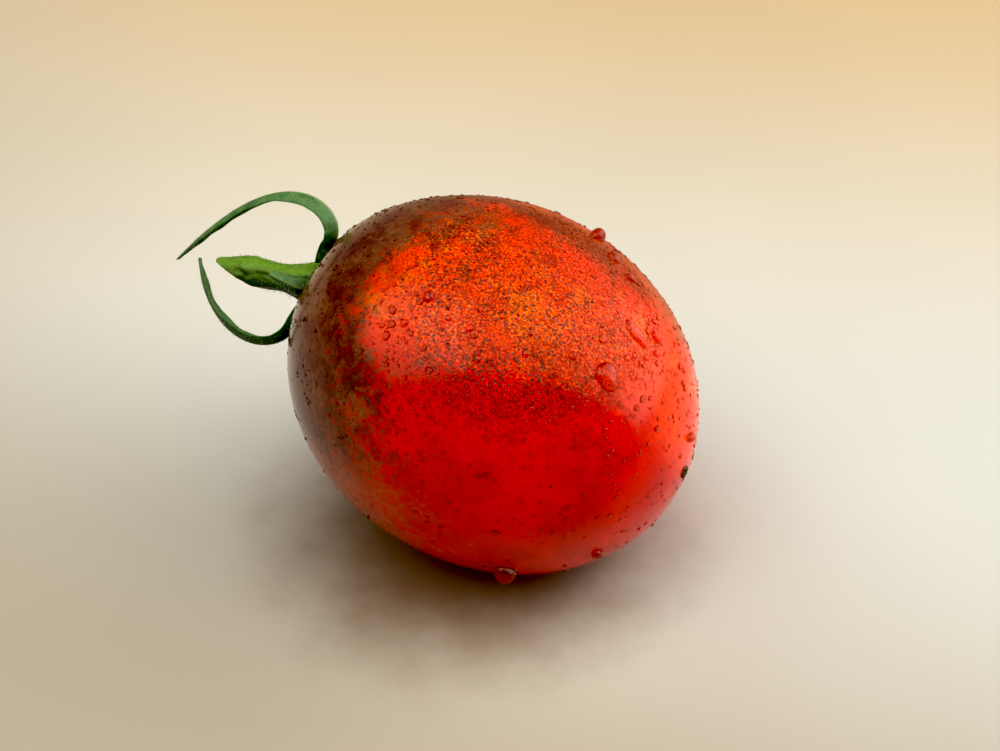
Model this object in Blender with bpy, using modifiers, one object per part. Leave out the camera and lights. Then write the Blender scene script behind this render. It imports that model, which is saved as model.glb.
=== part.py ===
"""A small plum tomato lying on its side, with its stalk and its five sepals.

Metres, +Z up. The origin is the middle of the flat spot that the fruit rests on, and +X points
to the blossom end. Every piece is modelled on an upright fruit, stalk upwards, in the frame of
one empty, which then lays the whole tomato on its side.
"""

import math

import bmesh
import bpy
from mathutils import Matrix, Vector

# The fruit
FRUIT_DIAMETER = 0.032
FRUIT_LENGTH = 0.0378
BLOSSOM_END_DOWN = math.radians(12.5)
FLAT_SPOT_DEPTH = 0.0005  # how far the skin is pressed in where it carries the fruit
CAVITY_DEPTH = 0.0016  # the dip round the stalk
CAVITY_RADIUS = 0.0032
SCAR_HEIGHT = 0.0003  # the nub that the flower leaves at the other end, a little off the axis
SCAR_RADIUS = 0.0005
SCAR_OFF_AXIS = math.radians(5.5)
SCAR_TURN = math.radians(-18.6)
FRUIT_RINGS = 30
FRUIT_SIDES = 48

# The stalk, from the dip to the broken joint
STALK_LENGTH = 0.0104
STALK_LEAN = math.radians(161.4)  # the side it leans to, as the sepals' turns
STALK_TILT_AT_ROOT = math.radians(13.5)
STALK_TILT_AT_TIP = math.radians(28.0)
STALK_ROOT_RADIUS = 0.0020
STALK_WAIST_RADIUS = 0.0012
FLARE_LENGTH = 0.0021
KNUCKLE_RADIUS = 0.0015
KNUCKLE_FROM_ROOT = 0.0068
BREAK_ANGLE = math.radians(29.0)  # between the broken face and the stalk
STALK_SECTIONS = 16

# The sepals: five blades round the stalk. Angles are in degrees, and where a sepal stands is
# counted from the top of the lying fruit towards its front.
SEPAL_THICKNESS = 0.00042
SEPAL_ROOT_OUT = 0.0025  # from the fruit's axis
SEPAL_ROOT_WIDTH = 0.0022
SEPAL_STEPS = 28
SEPAL_STRIPS = 4
TIP_WIDTH = 0.0003
TROUGH = 0.14  # how far the blade's edges stand above its midrib, as a share of its width

GAP = 0.0003  # between pieces that touch on the real thing

GREEN = (0.10, 0.24, 0.05, 1.0)
SEPALS = [
    # where it stands, length, widest, length that lies on the fruit, turn after that, and the
    # length over which most of the turn happens
    dict(stands=-24.0, length=0.0227, width=0.0027, lies=0.0018, turn=159.0, bend=0.0051),
    dict(stands=57.0, length=0.0040, width=0.0022, lies=0.0005, turn=80.0, bend=0.0015),
    dict(stands=138.0, length=0.0158, width=0.0025, lies=0.0014, turn=142.5, bend=0.0075),
    dict(stands=212.0, length=0.0170, width=0.0029, lies=0.0135, turn=38.0, bend=0.0040),
    dict(stands=282.0, length=0.0190, width=0.0030, lies=0.0142, turn=44.0, bend=0.0040),
]


def clear_scene():
    for thing in list(bpy.data.objects):
        bpy.data.objects.remove(thing)


def make_material(name, colour, roughness):
    material = bpy.data.materials.new(name)
    material.use_nodes = True
    shader = material.node_tree.nodes["Principled BSDF"]
    shader.inputs["Base Color"].default_value = colour
    shader.inputs["Roughness"].default_value = roughness
    shader.inputs["Metallic"].default_value = 0.0
    material.diffuse_color = colour
    return material


def add_piece(name, mesh, material, frame, collection):
    piece = bpy.data.objects.new(name, mesh)
    mesh.materials.clear()
    mesh.materials.append(material)
    piece.parent = frame
    collection.objects.link(piece)
    return piece


def keep_as_helper(helper, cutters):
    helper.hide_render = True
    helper.display_type = "WIRE"
    for holder in list(helper.users_collection):
        holder.objects.unlink(helper)
    cutters.objects.link(helper)


def sideways(turn):
    """Unit vector square to the fruit's axis, turned from the lying fruit's top towards its front."""
    return Vector((math.cos(turn), -math.sin(turn), 0.0))


def fruit_point(angle):
    """(out, up) on the upright fruit's outline, at an angle from the stalk's end of its axis."""
    out = FRUIT_DIAMETER / 2 * math.sin(angle)
    up = FRUIT_LENGTH / 2 * math.cos(angle)
    if angle < math.pi / 2:
        up -= CAVITY_DEPTH * math.exp(-((out / CAVITY_RADIUS) ** 2))
    return out, up


def shoulder_height(out):
    """Height of the upright fruit's upper half at a distance from its axis."""
    low, high = 0.0, math.pi / 2
    for _ in range(40):
        middle = (low + high) / 2
        if fruit_point(middle)[0] < out:
            low = middle
        else:
            high = middle
    return fruit_point(low)[1]


def fruit_centre():
    """Where the fruit's middle lies, so that its lowest side is pressed flat at the origin."""
    steps = 2000
    lowest, below = 0.0, 0.0
    for step in range(steps + 1):
        out, up = fruit_point(math.pi * step / steps)
        height = up * math.sin(BLOSSOM_END_DOWN) - out * math.cos(BLOSSOM_END_DOWN)
        if height < lowest:
            lowest = height
            below = -up * math.cos(BLOSSOM_END_DOWN) - out * math.sin(BLOSSOM_END_DOWN)
    return Vector((-below, 0.0, -lowest - FLAT_SPOT_DEPTH))


def make_fruit(frame, collection, cutters):
    outline = bmesh.new()
    previous = None
    for ring in range(FRUIT_RINGS + 1):
        share = ring / FRUIT_RINGS
        # The rings lie closer together at both ends, where the dip and the scar are.
        angle = math.pi * (share - 0.12 * math.sin(2 * math.pi * share))
        out, up = fruit_point(angle)
        if ring in (0, FRUIT_RINGS):
            out = 0.0
        point = outline.verts.new((out, 0.0, up))
        if previous:
            outline.edges.new((previous, point))
        previous = point
    mesh = bpy.data.meshes.new("fruit")
    outline.to_mesh(mesh)
    outline.free()
    skin = make_material("tomato_skin", (0.52, 0.02, 0.008, 1.0), 0.3)
    fruit = add_piece("fruit", mesh, skin, frame, collection)
    turned = fruit.modifiers.new("turned", "SCREW")
    turned.steps = turned.render_steps = FRUIT_SIDES
    turned.use_merge_vertices = True
    turned.merge_threshold = 0.00001
    turned.use_smooth_shade = True

    bpy.ops.mesh.primitive_cube_add(size=FRUIT_LENGTH, location=(0, 0, -FRUIT_LENGTH / 2))
    table = bpy.context.object
    table.name = "table_cutter"
    keep_as_helper(table, cutters)
    pressed = fruit.modifiers.new("pressed_flat", "BOOLEAN")
    pressed.operation = "DIFFERENCE"
    pressed.object = table

    # The scar is the tip of a small cone that stands in the skin.
    out, up = fruit_point(math.pi - SCAR_OFF_AXIS)
    bpy.ops.mesh.primitive_cone_add(
        vertices=10, radius1=2 * SCAR_RADIUS, radius2=SCAR_RADIUS / 2, depth=2 * SCAR_HEIGHT
    )
    nub = bpy.context.object
    nub.name = "blossom_scar"
    nub.parent = frame
    nub.location = sideways(SCAR_TURN) * out + Vector((0, 0, up))
    nub.rotation_euler = (math.pi, 0.0, 0.0)
    keep_as_helper(nub, cutters)
    scarred = fruit.modifiers.new("blossom_scar", "BOOLEAN")
    scarred.operation = "UNION"
    scarred.object = nub


def stalk_radius(along):
    """A flare at the root, a slim waist, and the swollen joint where the fruit snaps off."""
    flare = (STALK_ROOT_RADIUS - STALK_WAIST_RADIUS) * math.exp(-((along / FLARE_LENGTH) ** 2))
    knuckle_shape = math.exp(-(((along - KNUCKLE_FROM_ROOT) / 0.0017) ** 2))
    return STALK_WAIST_RADIUS + flare + (KNUCKLE_RADIUS - STALK_WAIST_RADIUS) * knuckle_shape


def make_stalk(frame, collection):
    sunk = STALK_ROOT_RADIUS * math.sin(STALK_TILT_AT_ROOT)
    centre = Vector((0, 0, shoulder_height(STALK_ROOT_RADIUS) + GAP + sunk))
    lean = sideways(STALK_LEAN)
    curve = bpy.data.curves.new("stalk", "CURVE")
    curve.dimensions = "3D"
    curve.bevel_depth = 1.0
    curve.bevel_resolution = 4
    curve.use_fill_caps = True
    spline = curve.splines.new("POLY")
    spline.points.add(STALK_SECTIONS)
    step = STALK_LENGTH / STALK_SECTIONS
    for number, point in enumerate(spline.points):
        share = number / STALK_SECTIONS
        tilt = STALK_TILT_AT_ROOT + share * (STALK_TILT_AT_TIP - STALK_TILT_AT_ROOT)
        direction = Vector((0, 0, math.cos(tilt))) + lean * math.sin(tilt)
        point.co = (*centre, 1.0)
        point.radius = stalk_radius(share * STALK_LENGTH)
        end = centre.copy()
        centre = centre + direction * step
    guide = bpy.data.objects.new("stalk_guide", curve)
    collection.objects.link(guide)
    bpy.context.view_layer.update()
    seen = guide.evaluated_get(bpy.context.evaluated_depsgraph_get())
    mesh = bpy.data.meshes.new_from_object(seen)
    bpy.data.objects.remove(guide)

    # The joint tore off at a slant: its far corner is on the side that the stalk leans away from.
    solid = bmesh.new()
    solid.from_mesh(mesh)
    bmesh.ops.remove_doubles(solid, verts=solid.verts, dist=0.00001)
    slant = Matrix.Rotation(math.pi / 2 - BREAK_ANGLE, 3, direction.cross(lean))
    corner = end - lean * KNUCKLE_RADIUS * 0.8
    torn = bmesh.ops.bisect_plane(
        solid,
        geom=[*solid.verts, *solid.edges, *solid.faces],
        plane_co=corner,
        plane_no=slant @ direction,
        clear_outer=True,
    )
    rim = [item for item in torn["geom_cut"] if isinstance(item, bmesh.types.BMEdge)]
    bmesh.ops.edgenet_fill(solid, edges=rim)
    bmesh.ops.recalc_face_normals(solid, faces=solid.faces)
    solid.to_mesh(mesh)
    solid.free()
    mesh.shade_smooth()
    mesh.set_sharp_from_angle(angle=math.radians(35))
    add_piece("stalk", mesh, make_material("stalk_green", GREEN, 0.6), frame, collection)


def sepal_line(length, lies, turn, bend):
    """(out, up, heading) along a sepal's midrib. Heading 0 points up along the fruit's axis.

    It first lies on the fruit, then turns up, most sharply where it leaves the fruit.
    """
    clear = GAP + SEPAL_THICKNESS / 2 + 0.00012
    step = length / SEPAL_STEPS
    out, up = SEPAL_ROOT_OUT, shoulder_height(SEPAL_ROOT_OUT) + clear
    line = []
    left_at = 0.0
    for number in range(SEPAL_STEPS + 1):
        along = number * step
        if along <= lies:
            slope = (shoulder_height(out + 0.0001) - shoulder_height(out - 0.0001)) / 0.0002
            heading = left_at = math.pi / 2 - math.atan(slope)
            offset = clear
            up = shoulder_height(out) + offset / math.sin(heading)
        else:
            share = 1 - math.exp(-(along - lies) / bend)
            heading = left_at - turn * share / (1 - math.exp(-(length - lies) / bend))
        line.append((out, up, heading))
        out += step * math.sin(heading)
        up += step * math.cos(heading)
    return line


def sepal_half_width(share, widest):
    """Half the blade's width: a narrow root, widest before the middle, and a fine point."""
    root = SEPAL_ROOT_WIDTH / 2
    swell = math.sin(math.pi * share**0.7) ** 0.8
    taper = (1 - share) ** 0.5
    return TIP_WIDTH / 2 + (root - TIP_WIDTH / 2) * (1 - share) + (widest / 2 - root) * swell * taper


def make_sepal(name, shape, material, frame, collection):
    blade = bmesh.new()
    bmesh.ops.create_grid(blade, x_segments=SEPAL_STRIPS, y_segments=SEPAL_STEPS, size=1)
    line = sepal_line(shape["length"], shape["lies"], math.radians(shape["turn"]), shape["bend"])
    outward = sideways(math.radians(shape["stands"]))
    across = Vector((0, 0, 1)).cross(outward)
    for vertex in blade.verts:
        step = round((vertex.co.y + 1) / 2 * SEPAL_STEPS)
        side = vertex.co.x
        out, up, heading = line[step]
        half = sepal_half_width(step / SEPAL_STEPS, shape["width"])
        face = outward * -math.cos(heading) + Vector((0, 0, math.sin(heading)))
        rise = TROUGH * 2 * half * side * side
        vertex.co = outward * out + Vector((0, 0, up)) + across * side * half + face * rise
    mesh = bpy.data.meshes.new(name)
    blade.to_mesh(mesh)
    blade.free()
    sepal = add_piece(name, mesh, material, frame, collection)
    thick = sepal.modifiers.new("thickness", "SOLIDIFY")
    thick.thickness = SEPAL_THICKNESS
    thick.offset = 0.0


def main():
    clear_scene()
    tomato = bpy.data.collections.new("tomato")
    cutters = bpy.data.collections.new("cutters")
    bpy.context.scene.collection.children.link(tomato)
    bpy.context.scene.collection.children.link(cutters)

    frame = bpy.data.objects.new("upright_fruit_frame", None)
    frame.location = fruit_centre()
    frame.rotation_euler = (0.0, BLOSSOM_END_DOWN - math.pi / 2, 0.0)
    tomato.objects.link(frame)

    make_fruit(frame, tomato, cutters)
    make_stalk(frame, tomato)
    leaf_green = make_material("sepal_green", GREEN, 0.65)
    for number, shape in enumerate(SEPALS):
        make_sepal(f"sepal_{number + 1}", shape, leaf_green, frame, tomato)


main()
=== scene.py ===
import math
import random

import bmesh
import bpy
import numpy as np
from mathutils import Matrix, Vector, noise


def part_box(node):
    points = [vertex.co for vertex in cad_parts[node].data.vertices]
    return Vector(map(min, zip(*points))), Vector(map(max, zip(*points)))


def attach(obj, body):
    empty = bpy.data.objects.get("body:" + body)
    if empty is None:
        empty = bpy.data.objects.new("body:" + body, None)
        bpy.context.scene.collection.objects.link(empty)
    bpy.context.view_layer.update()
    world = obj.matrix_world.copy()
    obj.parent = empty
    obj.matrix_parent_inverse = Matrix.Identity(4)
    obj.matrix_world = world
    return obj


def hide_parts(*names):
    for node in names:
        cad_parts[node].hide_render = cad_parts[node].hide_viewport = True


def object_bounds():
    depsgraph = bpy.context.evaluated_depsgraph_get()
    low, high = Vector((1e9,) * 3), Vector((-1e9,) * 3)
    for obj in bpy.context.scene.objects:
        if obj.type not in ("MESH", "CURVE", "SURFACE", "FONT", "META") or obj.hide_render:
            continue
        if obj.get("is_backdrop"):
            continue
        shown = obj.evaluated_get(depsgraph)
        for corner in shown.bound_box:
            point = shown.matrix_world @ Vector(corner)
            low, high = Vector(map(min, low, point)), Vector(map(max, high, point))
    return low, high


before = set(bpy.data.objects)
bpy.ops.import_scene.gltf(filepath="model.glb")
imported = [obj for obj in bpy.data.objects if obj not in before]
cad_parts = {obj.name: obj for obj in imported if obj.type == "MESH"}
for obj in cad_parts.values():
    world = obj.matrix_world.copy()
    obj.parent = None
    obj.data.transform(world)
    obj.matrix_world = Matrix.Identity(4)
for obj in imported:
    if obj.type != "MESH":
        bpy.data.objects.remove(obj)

MM = 0.001
cad_low, cad_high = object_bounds()


# ---- The fruit --------------------------------------------------------------------------------
# A ripe plum tomato lying on its side: a slightly lumpy egg of taut red skin, dipped where the
# stalk grows in, with a small dry scar at the blossom end, pressed flat where it lies. The skin
# went brown-purple on the side that the sun reached, and is orange towards the blossom end.

FRUIT_LENGTH = 37.8 * MM
FRUIT_WIDTH = 32.0 * MM
BLOSSOM_END_DOWN = math.radians(12.5)
DIP_DEPTH = 1.6 * MM
DIP_RADIUS = 3.2 * MM
RIB_HEIGHT = 0.10 * MM
LUMP_HEIGHT = 0.16 * MM
LUMP_SPACING = 13 * MM
PRESSED_EDGE = 0.10 * MM
GRIT_TURN = math.radians(67)
GRIT_ANGLE = math.radians(127)
FRUIT_RINGS = 250
FRUIT_SIDES = 390

RIPE_RED = (0.70, 0.0030, 0.0012, 1)
DEEP_RED = (0.52, 0.0015, 0.0008, 1)
WARM_ORANGE = (0.90, 0.036, 0.002, 1)
STREAK_GOLD = (0.95, 0.150, 0.004, 1)
GLINT_GOLD = (0.92, 0.160, 0.004, 1)
SUN_BROWN = (0.112, 0.050, 0.022, 1)
SUN_PURPLE = (0.055, 0.021, 0.016, 1)
SUN_RUST = (0.420, 0.055, 0.008, 1)
SPECK_DARK = (0.055, 0.011, 0.012, 1)
MARK_AND_SHADE_DARK = (0.120, 0.006, 0.004, 1)
MARK_AND_SHADE_GREY = (0.110, 0.040, 0.045, 1)
SKIN_GLEAM = (1.0, 0.62, 0.44, 1)


def half_height():
    """How far the lying fruit's middle would be above the surface if it weren't pressed flat."""
    along = FRUIT_LENGTH / 2 * math.sin(BLOSSOM_END_DOWN)
    across = FRUIT_WIDTH / 2 * math.cos(BLOSSOM_END_DOWN)
    return math.hypot(along, across)


def upright_frame():
    """The frame of the fruit with its stalk upwards, as laid on its side in the row frame."""
    low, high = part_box("fruit")
    longer = (FRUIT_LENGTH / 2) ** 2 - (FRUIT_WIDTH / 2) ** 2
    lean = math.sin(BLOSSOM_END_DOWN) * math.cos(BLOSSOM_END_DOWN)
    middle = Vector((-longer * lean / half_height(), (low.y + high.y) / 2, high.z - half_height()))
    tip = Matrix.Rotation(BLOSSOM_END_DOWN - math.pi / 2, 4, "Y")
    return Matrix.Translation(middle) @ tip


UPRIGHT = upright_frame()
TO_UPRIGHT = UPRIGHT.inverted()


def sideways(turn):
    """Unit vector square to the fruit's axis, turned from the lying fruit's top towards its front."""
    return Vector((math.cos(turn), -math.sin(turn), 0.0))


def skin_point(turn, angle):
    """A point of the skin in the upright frame, at an angle from the stalk's end of the axis."""
    out = FRUIT_WIDTH / 2 * math.sin(angle)
    up = FRUIT_LENGTH / 2 * math.cos(angle)
    if angle < math.pi / 2:
        up -= DIP_DEPTH * math.exp(-((out / DIP_RADIUS) ** 2))
    point = sideways(turn) * out + Vector((0, 0, up))
    # Faint ribs run down from the dip, over a few shallow lumps.
    ribs = RIB_HEIGHT * math.cos(5 * turn + 0.7) * math.exp(-(((angle - 0.75) / 0.45) ** 2))
    lumps = LUMP_HEIGHT * noise.noise(point / LUMP_SPACING + Vector((3.1, 0.4, 7.7)))
    fade = min(1.0, angle / 0.25, (math.pi - angle) / 0.25)
    point += point.normalized() * (ribs + lumps) * fade
    # Where it lies it is pressed flat, with a soft edge to the flat spot.
    lying = UPRIGHT @ point
    if lying.z < 4 * PRESSED_EDGE:
        lying.z = PRESSED_EDGE * math.log1p(math.exp(lying.z / PRESSED_EDGE))
        point = TO_UPRIGHT @ lying
    return point


def skin_frame(turn, angle):
    """(point, outward normal, downhill direction) of the skin, in the row frame."""
    step = 0.004
    here = UPRIGHT @ skin_point(turn, angle)
    round_it = UPRIGHT @ skin_point(turn + step, angle) - here
    along_it = UPRIGHT @ skin_point(turn, angle + step) - here
    normal = round_it.cross(along_it).normalized()
    if normal.dot(here - UPRIGHT.translation) < 0:
        normal.negate()
    down = Vector((0, 0, -1)) + normal * normal.z
    down = down.normalized() if down.length > 0.02 else along_it.normalized()
    return here, normal, down


def add_piece(name, mesh, material):
    mesh.shade_smooth()
    mesh.materials.append(material)
    piece = bpy.data.objects.new(name, mesh)
    bpy.context.scene.collection.objects.link(piece)
    return piece


def loft(name, rings, tips=None):
    """A mesh through rings of points of the upright frame, laid down as the fruit lies.

    It closes on a tip at each end, or without tips its last ring joins its first.
    """
    shape = bmesh.new()
    loops = [[shape.verts.new(point) for point in ring] for ring in rings]
    if not tips:
        loops.append(loops[0])
    for upper, lower in zip(loops, loops[1:]):
        for side in range(len(upper)):
            shape.faces.new((upper[side - 1], lower[side - 1], lower[side], upper[side]))
    for tip, loop in zip(tips or (), (loops[0], loops[-1])):
        point = shape.verts.new(tip)
        for side in range(len(loop)):
            shape.faces.new((point, loop[side - 1], loop[side]))
    bmesh.ops.recalc_face_normals(shape, faces=shape.faces)
    bmesh.ops.transform(shape, matrix=UPRIGHT, verts=shape.verts)
    mesh = bpy.data.meshes.new(name)
    shape.to_mesh(mesh)
    shape.free()
    return mesh


def fruit_mesh():
    turns = [2 * math.pi * side / FRUIT_SIDES for side in range(FRUIT_SIDES)]
    rings = []
    for ring in range(1, FRUIT_RINGS):
        share = ring / FRUIT_RINGS
        # The rings lie closer together at both ends.
        angle = math.pi * (share - 0.08 * math.sin(2 * math.pi * share))
        rings.append([skin_point(turn, angle) for turn in turns])
    return loft("tomato_fruit", rings, (skin_point(0, 0), skin_point(0, math.pi)))


def plug(tree, node, sockets):
    """Fills a node's sockets, each with a number, a colour, or another node's output."""
    for key, value in sockets.items():
        if isinstance(value, bpy.types.NodeSocket):
            tree.links.new(value, node.inputs[key])
        else:
            node.inputs[key].default_value = value


def put(tree, kind, sockets=None, **settings):
    """Adds a shader node with these sockets and settings."""
    made = tree.nodes.new("ShaderNode" + kind)
    for name, value in settings.items():
        setattr(made, name, value)
    plug(tree, made, sockets or {})
    return made


def sums(tree, operation, first, second=0.0, third=0.0, clamp=False):
    sockets = {0: first, 1: second, 2: third}
    return put(tree, "Math", sockets, operation=operation, use_clamp=clamp).outputs[0]


def product(tree, *values):
    made = values[0]
    for value in values[1:]:
        made = sums(tree, "MULTIPLY", made, value)
    return made


def ramp(tree, value, low, high, to_low=0.0, to_high=1.0):
    """The value eased from to_low at low to to_high at high."""
    sockets = {0: value, 1: low, 2: high, 3: to_low, 4: to_high}
    return put(tree, "MapRange", sockets, interpolation_type="SMOOTHSTEP").outputs[0]


def blend_colour(tree, factor, first, second, blend="MIX"):
    sockets = {0: factor, 6: first, 7: second}
    return put(tree, "Mix", sockets, data_type="RGBA", blend_type=blend).outputs[2]


def speckle(tree, place, scale, detail=2.0, rough=0.5, warp=0.0):
    sockets = {"Vector": place, "Scale": scale, "Detail": detail, "Roughness": rough}
    sockets["Distortion"] = warp
    return put(tree, "TexNoise", sockets).outputs[0]


def new_material(name):
    material = bpy.data.materials.new(name)
    material.use_nodes = True
    tree = material.node_tree
    return material, tree, tree.nodes["Principled BSDF"]


def upright_place(tree):
    """Where a point is in the upright frame, in millimetres."""
    sockets = {"Vector": put(tree, "TexCoord").outputs["Object"], "Scale": (1 / MM,) * 3}
    sockets["Rotation"] = TO_UPRIGHT.to_euler()
    sockets["Location"] = TO_UPRIGHT.translation / MM
    return put(tree, "Mapping", sockets).outputs[0]


def skin_material():
    material, tree, shader = new_material("tomato_skin")
    mm = upright_place(tree)
    facing = put(tree, "VectorMath", {0: mm}, operation="NORMALIZE").outputs[0]

    def towards(x, y, z):
        sockets = {0: facing, 1: (x, y, z)}
        return put(tree, "VectorMath", sockets, operation="DOT_PRODUCT").outputs[1]

    def shaken(value, pattern, amount):
        shake = product(tree, sums(tree, "SUBTRACT", pattern, 0.5), amount)
        return sums(tree, "ADD", value, shake)

    def scattered_cells(scale):
        """How far a point is from the middle of its cell, and a chance number for the cell."""
        cells = put(tree, "TexVoronoi", {"Vector": mm, "Scale": scale, "Randomness": 1.0}).outputs
        chance = put(tree, "TexWhiteNoise", {0: cells["Position"]}, noise_dimensions="3D")
        return cells["Distance"], chance.outputs[0]

    clouds = speckle(tree, mm, 0.16, 3.0, 0.55)
    patches = speckle(tree, mm, 0.30, 5.0, 0.62, 0.4)
    streaks = speckle(tree, mm, 0.50, 4.0, 0.6, 0.6)
    grain = speckle(tree, mm, 1.9, 4.0, 0.65)
    fine = speckle(tree, mm, 5.0, 3.0, 0.6)

    # Ripe red, deeper and lighter in clouds.
    colour = blend_colour(tree, ramp(tree, clouds, 0.35, 0.65), DEEP_RED, RIPE_RED)

    # Orange over the top and at the blossom end, with a grainy edge and a few yellow streaks.
    blossom_end = ramp(tree, towards(0.35, 0.15, -1.0), 0.98, 1.06)
    warm = sums(tree, "MULTIPLY_ADD", blossom_end, 0.30, towards(0.6, 1.0, 0.45))
    bay = ramp(tree, towards(0.80, -0.46, 0.38), 0.92, 0.985)
    warm = shaken(shaken(warm, grain, 0.45), streaks, 0.40)
    orange = ramp(tree, warm, -0.36, 0.04)
    colour = blend_colour(tree, orange, colour, WARM_ORANGE)
    gold = product(tree, ramp(tree, patches, 0.50, 0.68), ramp(tree, warm, -0.30, 0.10), 0.7)
    colour = blend_colour(tree, gold, colour, STREAK_GOLD)

    # Brown-purple where the sun reached: round the stalk and down the far side, but for a bay of
    # orange that runs up towards the stalk. The far and lower sides are rustier than the rest.
    sun = sums(tree, "MULTIPLY_ADD", bay, -0.40, towards(-0.40, 0.15, 1.0))
    far_side = ramp(tree, towards(0.45, 1.0, -0.30), 0.52, 0.94)
    sun = sums(tree, "MULTIPLY_ADD", far_side, 1.0, sun)
    sun = shaken(shaken(shaken(sun, patches, 0.90), streaks, 0.70), grain, 1.20)
    browned = ramp(tree, sun, -0.36, 0.32)
    brown = blend_colour(tree, ramp(tree, streaks, 0.40, 0.62), SUN_BROWN, SUN_PURPLE)
    low_side = ramp(tree, towards(-0.8, 0.0, -0.5), -0.25, 0.20, 0.0, 0.9)
    rusty = sums(tree, "MAXIMUM", low_side, far_side)
    brown = blend_colour(tree, rusty, brown, SUN_RUST)
    close_mottle = ramp(tree, grain, 0.30, 0.70, 0.55, 1.35)
    broad_mottle = ramp(tree, patches, 0.3, 0.7, 0.75, 1.2)
    mottled = product(tree, close_mottle, broad_mottle)
    brown = blend_colour(tree, 1.0, brown, mottled, "MULTIPLY")
    colour = blend_colour(tree, product(tree, browned, 0.94), colour, brown)

    # Dark specks, thick near the browned part and on the crown, and thin elsewhere.
    off_speck, chosen = scattered_cells(3.1)
    dots = ramp(tree, off_speck, 0.16, 0.34, 1.0, 0.0)
    crown = ramp(tree, towards(0.96, -0.18, -0.22), 0.86, 1.0, 0.0, 0.55)
    crowd = ramp(tree, sun, -0.45, 0.15, 0.05, 0.75)
    kept = sums(tree, "LESS_THAN", chosen, sums(tree, "ADD", crowd, crown))
    colour = blend_colour(tree, product(tree, dots, kept, 0.7), colour, SPECK_DARK)

    # One black grain of grit has stuck low on the side.
    grit = skin_point(GRIT_TURN, GRIT_ANGLE) / MM
    off_grit = put(tree, "VectorMath", {0: mm, 1: grit}, operation="DISTANCE").outputs[1]
    colour = blend_colour(tree, ramp(tree, off_grit, 0.11, 0.19, 0.9, 0.0), colour, SPECK_DARK)

    # Marks, grains and stains are painted on the upper front only, the part that the sky shines on, as a
    # painted sheen. Small dark rings stand partly for dried mist and partly for painted shade at the rims
    # of the mist; the gold grains are painted glints; the dark streaks are partly stain and partly painted
    # shade in the shine. The rings and the gold grains are thinner towards the back.
    sky_shine_zone = ramp(tree, towards(0.93, -0.25, -0.10), 0.66, 0.86)
    off_ring, left_by = scattered_cells(3.4)
    outside = ramp(tree, off_ring, 0.18, 0.28)
    inside = ramp(tree, off_ring, 0.42, 0.56, 1.0, 0.0)
    shown = ramp(tree, left_by, 0.20, 0.45)
    thick_there = ramp(tree, patches, 0.34, 0.54, 0.25, 1.0)
    not_behind = ramp(tree, towards(0, 1, 0), -0.10, 0.15, 1.0, 0.35)
    mist_marks_and_shade = product(tree, outside, inside, shown, sky_shine_zone, thick_there, not_behind)
    colour = blend_colour(tree, mist_marks_and_shade, colour, blend_colour(tree, clouds, MARK_AND_SHADE_DARK, MARK_AND_SHADE_GREY))
    # Painted glints: gold grains in the shine.
    grains = ramp(tree, fine, 0.53, 0.63)
    not_behind = ramp(tree, towards(0, 1, 0), -0.05, 0.20, 0.65, 0.20)
    painted_glints = product(tree, grains, sky_shine_zone, orange, not_behind)
    colour = blend_colour(tree, painted_glints, colour, GLINT_GOLD)
    painted_darkening = product(tree, ramp(tree, streaks, 0.54, 0.68, 0.0, 0.55), sky_shine_zone, orange)
    colour = blend_colour(tree, painted_darkening, colour, MARK_AND_SHADE_DARK)

    # Fine grain darkens and lightens the skin, and far more strongly in the same part, where the
    # contrast is a painted sheen.
    painted_sheen_depth = sums(tree, "MULTIPLY_ADD", sky_shine_zone, 2.6, 0.45)
    shade = sums(tree, "MULTIPLY_ADD", sums(tree, "SUBTRACT", fine, 0.5), painted_sheen_depth, 1.0)
    grained = blend_colour(tree, 1.0, colour, shade, "MULTIPLY")

    # Mist too fine to stand as drops lies on it as a skin of tiny domes.
    mist = put(tree, "TexVoronoi", {"Vector": mm, "Scale": 5.2, "Randomness": 1.0})
    domes = ramp(tree, mist.outputs["Distance"], 0.0, 0.42, 1.0, 0.0)
    domes = product(tree, domes, product(tree, sky_shine_zone, ramp(tree, streaks, 0.36, 0.52)))
    fine_bump = {"Height": fine, "Strength": 0.10, "Distance": 0.02 * MM}
    lumpy = put(tree, "Bump", fine_bump).outputs[0]
    domed = {"Height": domes, "Strength": 0.5, "Distance": 0.04 * MM, "Normal": lumpy}
    bumpy = put(tree, "Bump", domed).outputs[0]

    misted = product(tree, ramp(tree, towards(0.9, 0.35, 0.0), 0.35, 0.85), 0.30)
    roughness = sums(tree, "ADD", ramp(tree, grain, 0.2, 0.8, 0.12, 0.22), misted)
    waxy = {"Base Color": grained, "Roughness": roughness, "Normal": bumpy}
    waxy |= {"Specular IOR Level": 0.45, "Specular Tint": SKIN_GLEAM}
    waxy |= {"Subsurface Weight": 0.08, "Subsurface Scale": 0.8 * MM}
    waxy["Subsurface Radius"] = (1.0, 0.10, 0.04)
    plug(tree, shader, waxy)
    return material


fruit = add_piece("tomato_fruit", fruit_mesh(), skin_material())
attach(fruit, "root")
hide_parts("fruit")


# ---- The blossom scar -------------------------------------------------------------------------
# The dry, corky nub that the flower leaves at the far end of the fruit, a little off its axis: a
# low brown ring round a pit, with the stump of the style in it. It is part of the skin.

SCAR_TURN = math.radians(-18.6)
SCAR_OFF_AXIS = math.radians(5.5)
SCAR_RADIUS = 0.62 * MM
SCAR_HEIGHT = 0.22 * MM
SCAR_ROOT = 0.2 * MM
CRUMB_SPACING = 0.12 * MM
SCAR_SIDES = 56
SCAR_RINGS = 22

CORK_BROWN = (0.120, 0.060, 0.022, 1)
CORK_DARK = (0.018, 0.016, 0.008, 1)


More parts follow.
